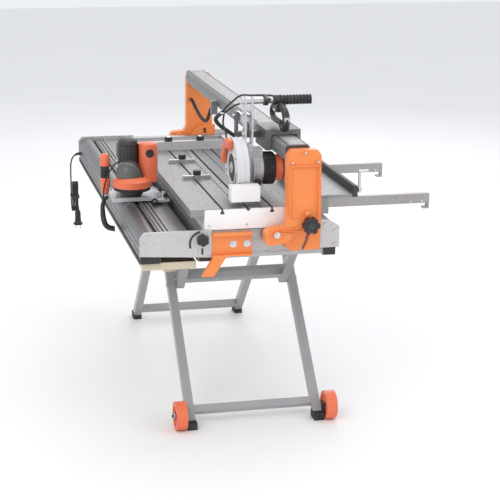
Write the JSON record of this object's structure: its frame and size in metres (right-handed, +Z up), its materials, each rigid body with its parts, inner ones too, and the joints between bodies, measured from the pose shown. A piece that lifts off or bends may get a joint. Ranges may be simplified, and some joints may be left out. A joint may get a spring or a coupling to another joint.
{
  "type": "wet tile saw",
  "caption": "Bridge wet tile saw on a folding stand with wheels: tilting bridge and sliding saw head over a slotted table, side extensions and an edge profiling unit",
  "frame": {"origin": "middle of the saw's footprint, on the floor", "axes": "+X to the right of the operator, +Y along the frame away from the operator, +Z up"},
  "size_m": [1.079, 1.84, 1.157],
  "materials": {
    "alu_dark": "brushed anodised",
    "alu": "brushed anodised",
    "plate": "satin sheet",
    "cast_orange": "satin paint",
    "steel": "grey paint",
    "bright": "satin",
    "casting": "cast",
    "white_plastic": "satin",
    "beige_plastic": "matte",
    "black_plastic": "matte",
    "orange_plastic": "satin",
    "blade_steel": "ground",
    "rubber": "matte"
  },
  "bodies": {
    "frame": {"outer_beam": "alu_dark", "left_beam": "alu", "right_beam": "alu", "front_crossmember": "alu", "rear_crossmember": "alu", "end_plates": "plate", "corner_brackets": "cast_orange", "bench_plate": "alu", "leg_hinges": "steel", "main_table": "alu", "water_tray": "white_plastic", "side_tray": "beige_plastic", "drain_cap": "beige_plastic", "pump": "black_plastic", "side_table": "alu", "side_fence": "black_plastic", "tilt_mounts": "cast_orange", "mains_cord": "rubber", "cord_hank": "rubber", "mains_plug": "black_plastic"},
    "rear_fence": {"fence_bar": "plate"},
    "fence_knob_l": {"fence_knob_left": "black_plastic"},
    "fence_knob_r": {"fence_knob_right": "black_plastic"},
    "stop_rear": {"table_stop_rear": "bright"},
    "stop_front": {"table_stop_front": "bright"},
    "extension_front": {"arm_front": "alu"},
    "extension_rear": {"arm_rear": "alu"},
    "clamp": {"clamp_lever": "black_plastic"},
    "bridge": {"front_tower": "cast_orange", "rear_tower": "cast_orange", "rail": "alu", "head_hose": "rubber"},
    "lock_knob_front": {"tilt_knob_front": "black_plastic"},
    "lock_knob_rear": {"tilt_knob_rear": "black_plastic"},
    "carriage": {"saw_carriage": "casting"},
    "saw_head": {"head_fork": "bright", "gearbox": "casting", "motor_body": "black_plastic", "motor_cover": "orange_plastic", "blade_guard": "casting", "splash_guard": "white_plastic", "handle_bar": "bright", "switch_handle": "black_plastic"},
    "cutting_blade": {"blade": "blade_steel", "saw_spindle": "bright"},
    "switch_trigger": {"trigger": "bright"},
    "bar_lever": {"lock_lever": "black_plastic"},
    "profiler": {"profiler_carriage": "casting", "profiler_motor": "black_plastic", "profiler_cover": "orange_plastic", "profiler_hood": "orange_plastic"},
    "profiling_wheel": {"profiler_wheel": "black_plastic"},
    "front_stand": {"front_legs": "steel", "front_feet": "rubber"},
    "rear_stand": {"rear_legs": "steel", "rear_feet": "rubber"},
    "front_stay": {"front_brace": "steel"},
    "rear_stay": {"rear_brace": "steel"},
    "wheel_l": {"wheel_left": "orange_plastic"},
    "wheel_r": {"wheel_right": "orange_plastic"}
  },
  "joints": [
    {"name": "rear_fence_slide", "type": "slide", "parent": "frame", "child": "rear_fence", "axis": [0, 1, 0], "range_m": [-0.12, 0.09]},
    {"name": "fence_knob_left_turn", "type": "hinge", "parent": "rear_fence", "child": "fence_knob_l", "pos_m": [-0.236, 0.163, 0.86], "axis": [0, 0, 1], "continuous": true},
    {"name": "fence_knob_right_turn", "type": "hinge", "parent": "rear_fence", "child": "fence_knob_r", "pos_m": [-0.112, 0.163, 0.86], "axis": [0, 0, 1], "continuous": true},
    {"name": "stop_rear_slide", "type": "slide", "parent": "frame", "child": "stop_rear", "axis": [0, 1, 0], "range_m": [-0.15, 0.06]},
    {"name": "stop_front_slide", "type": "slide", "parent": "frame", "child": "stop_front", "axis": [0, 1, 0], "range_m": [-0.25, 0.08]},
    {"name": "extension_front_slide", "type": "slide", "parent": "frame", "child": "extension_front", "axis": [1, 0, 0], "range_m": [-0.11, 0]},
    {"name": "extension_rear_slide", "type": "slide", "parent": "frame", "child": "extension_rear", "axis": [1, 0, 0], "range_m": [-0.11, 0]},
    {"name": "clamp_turn", "type": "hinge", "parent": "frame", "child": "clamp", "pos_m": [0.278, -0.656, 0.824], "axis": [1, 0, 0], "range_deg": [-60, 60]},
    {"name": "bridge_tilt", "type": "hinge", "parent": "frame", "child": "bridge", "pos_m": [-0.07, 0, 0.742], "axis": [0, 1, 0], "range_deg": [0, 45]},
    {"name": "lock_knob_front_turn", "type": "hinge", "parent": "bridge", "child": "lock_knob_front", "pos_m": [0.04061, -0.9, 0.76958], "axis": [0, 1, 0], "continuous": true},
    {"name": "lock_knob_rear_turn", "type": "hinge", "parent": "bridge", "child": "lock_knob_rear", "pos_m": [0.04061, 0.9, 0.76958], "axis": [0, 1, 0], "continuous": true},
    {"name": "carriage_slide", "type": "slide", "parent": "bridge", "child": "carriage", "axis": [0, 1, 0], "range_m": [-0.03, 0.72]},
    {"name": "head_plunge", "type": "slide", "parent": "carriage", "child": "saw_head", "axis": [0, 0, 1], "range_m": [-0.012, 0]},
    {"name": "blade_spin", "type": "hinge", "parent": "saw_head", "child": "cutting_blade", "pos_m": [-0.151, -0.668, 0.914], "axis": [1, 0, 0], "continuous": true},
    {"name": "trigger_press", "type": "slide", "parent": "saw_head", "child": "switch_trigger", "axis": [0, 0, 1], "range_m": [0, 0.004], "stiffness_N_per_m": 400},
    {"name": "bar_lever_turn", "type": "hinge", "parent": "saw_head", "child": "bar_lever", "pos_m": [-0.056, -0.668, 1.14], "axis": [1, 0, 0], "range_deg": [-8, 25]},
    {"name": "profiler_slide", "type": "slide", "parent": "frame", "child": "profiler", "axis": [0, 1, 0], "range_m": [-0.4, 1]},
    {"name": "profiling_wheel_spin", "type": "hinge", "parent": "profiler", "child": "profiling_wheel", "pos_m": [-0.454, -0.346, 0.79], "axis": [0, 0, 1], "continuous": true},
    {"name": "front_stand_fold", "type": "hinge", "parent": "frame", "child": "front_stand", "pos_m": [-0.076, -0.024, 0.631], "axis": [1, 0, 0], "range_deg": [-37, 0]},
    {"name": "rear_stand_fold", "type": "hinge", "parent": "frame", "child": "rear_stand", "pos_m": [-0.076, 0.024, 0.631], "axis": [1, 0, 0], "range_deg": [0, 37]},
    {"name": "front_stay_fold", "type": "hinge", "parent": "front_stand", "child": "front_stay", "pos_m": [-0.076, -0.25169, 0.40331], "axis": [1, 0, 0], "range_deg": [0, 74]},
    {"name": "rear_stay_fold", "type": "hinge", "parent": "rear_stand", "child": "rear_stay", "pos_m": [-0.076, 0.25169, 0.40331], "axis": [1, 0, 0], "range_deg": [-74, 0]},
    {"name": "wheel_left_spin", "type": "hinge", "parent": "front_stand", "child": "wheel_l", "pos_m": [-0.342, -0.649, 0.05], "axis": [1, 0, 0], "continuous": true},
    {"name": "wheel_right_spin", "type": "hinge", "parent": "front_stand", "child": "wheel_r", "pos_m": [0.19, -0.649, 0.05], "axis": [1, 0, 0], "continuous": true}
  ],
  "couplings": [
    {"joint": "front_stay_fold", "follows": "front_stand_fold", "ratio": -2},
    {"joint": "rear_stay_fold", "follows": "rear_stand_fold", "ratio": -2}
  ]
}
